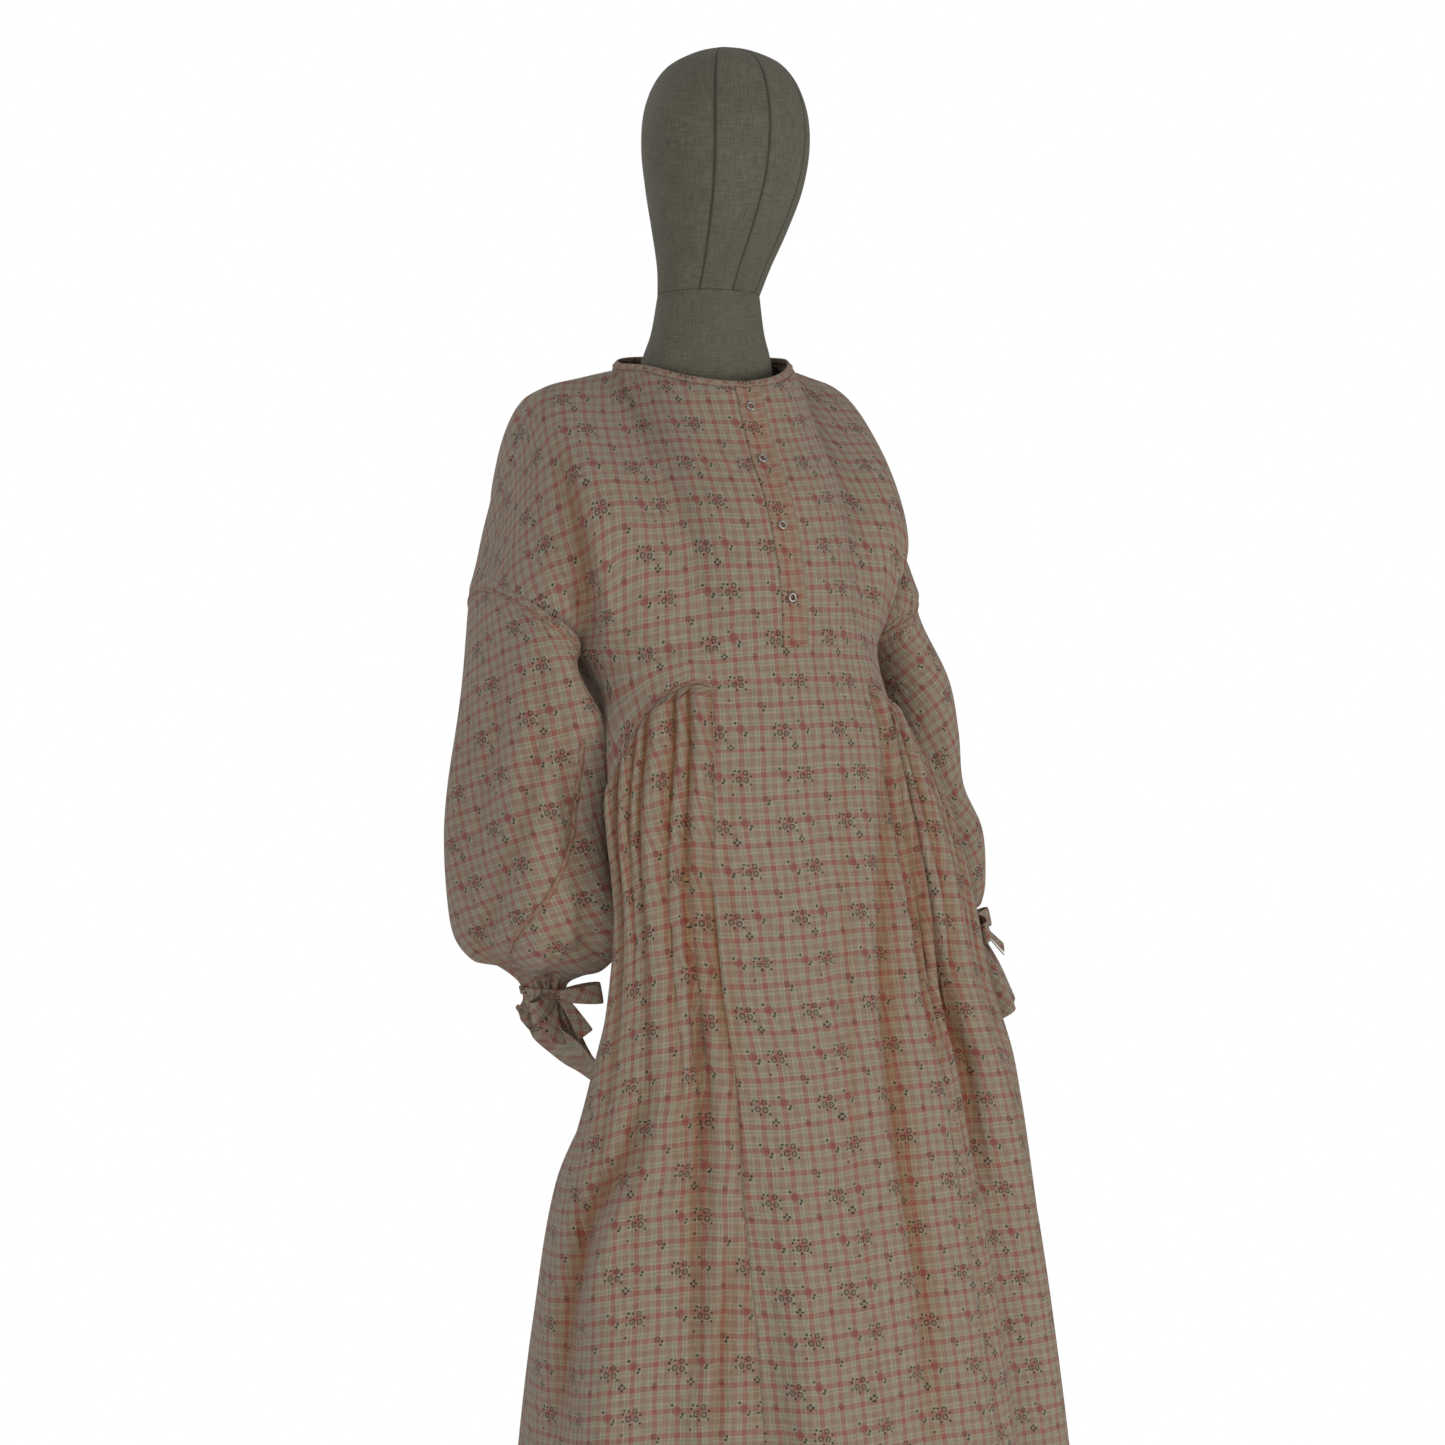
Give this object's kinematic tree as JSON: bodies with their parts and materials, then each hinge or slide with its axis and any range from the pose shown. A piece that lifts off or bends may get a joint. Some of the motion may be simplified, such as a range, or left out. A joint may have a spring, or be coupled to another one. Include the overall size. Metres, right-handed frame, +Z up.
{
  "type": "nursing abaya on a dress form",
  "caption": "Long loose checked gauze abaya with a snapped half-placket, gathered side panels and tied balloon sleeves, worn by a linen dress form with a head, on a pole and round base.",
  "frame": {"origin": "centre of the base's underside, on the floor", "axes": "+Z up, the wearer faces -Y, the wearer's left is +X"},
  "size_m": [0.6698, 0.5058, 1.75],
  "materials": {
    "cloth": "matt crinkled gauze, checked with small flowers",
    "binding": "matt, stitched",
    "snap": "satin",
    "linen": "matt linen weave with seams",
    "stand": "satin"
  },
  "bodies": {
    "root": {"front_panel": "cloth", "side_front_right": "cloth", "side_front_left": "cloth", "back_bodice": "cloth", "back_skirt": "cloth", "sleeve_right": "cloth", "sleeve_left": "cloth", "tie_right": "cloth", "tie_left": "cloth", "neck_binding": "binding", "placket": "binding", "snap_1": "snap", "snap_2": "snap", "snap_3": "snap", "snap_4": "snap", "form_head": "linen", "form_neck": "linen", "form_torso": "linen", "form_pole": "stand", "form_base": "stand"}
  },
  "joints": []
}
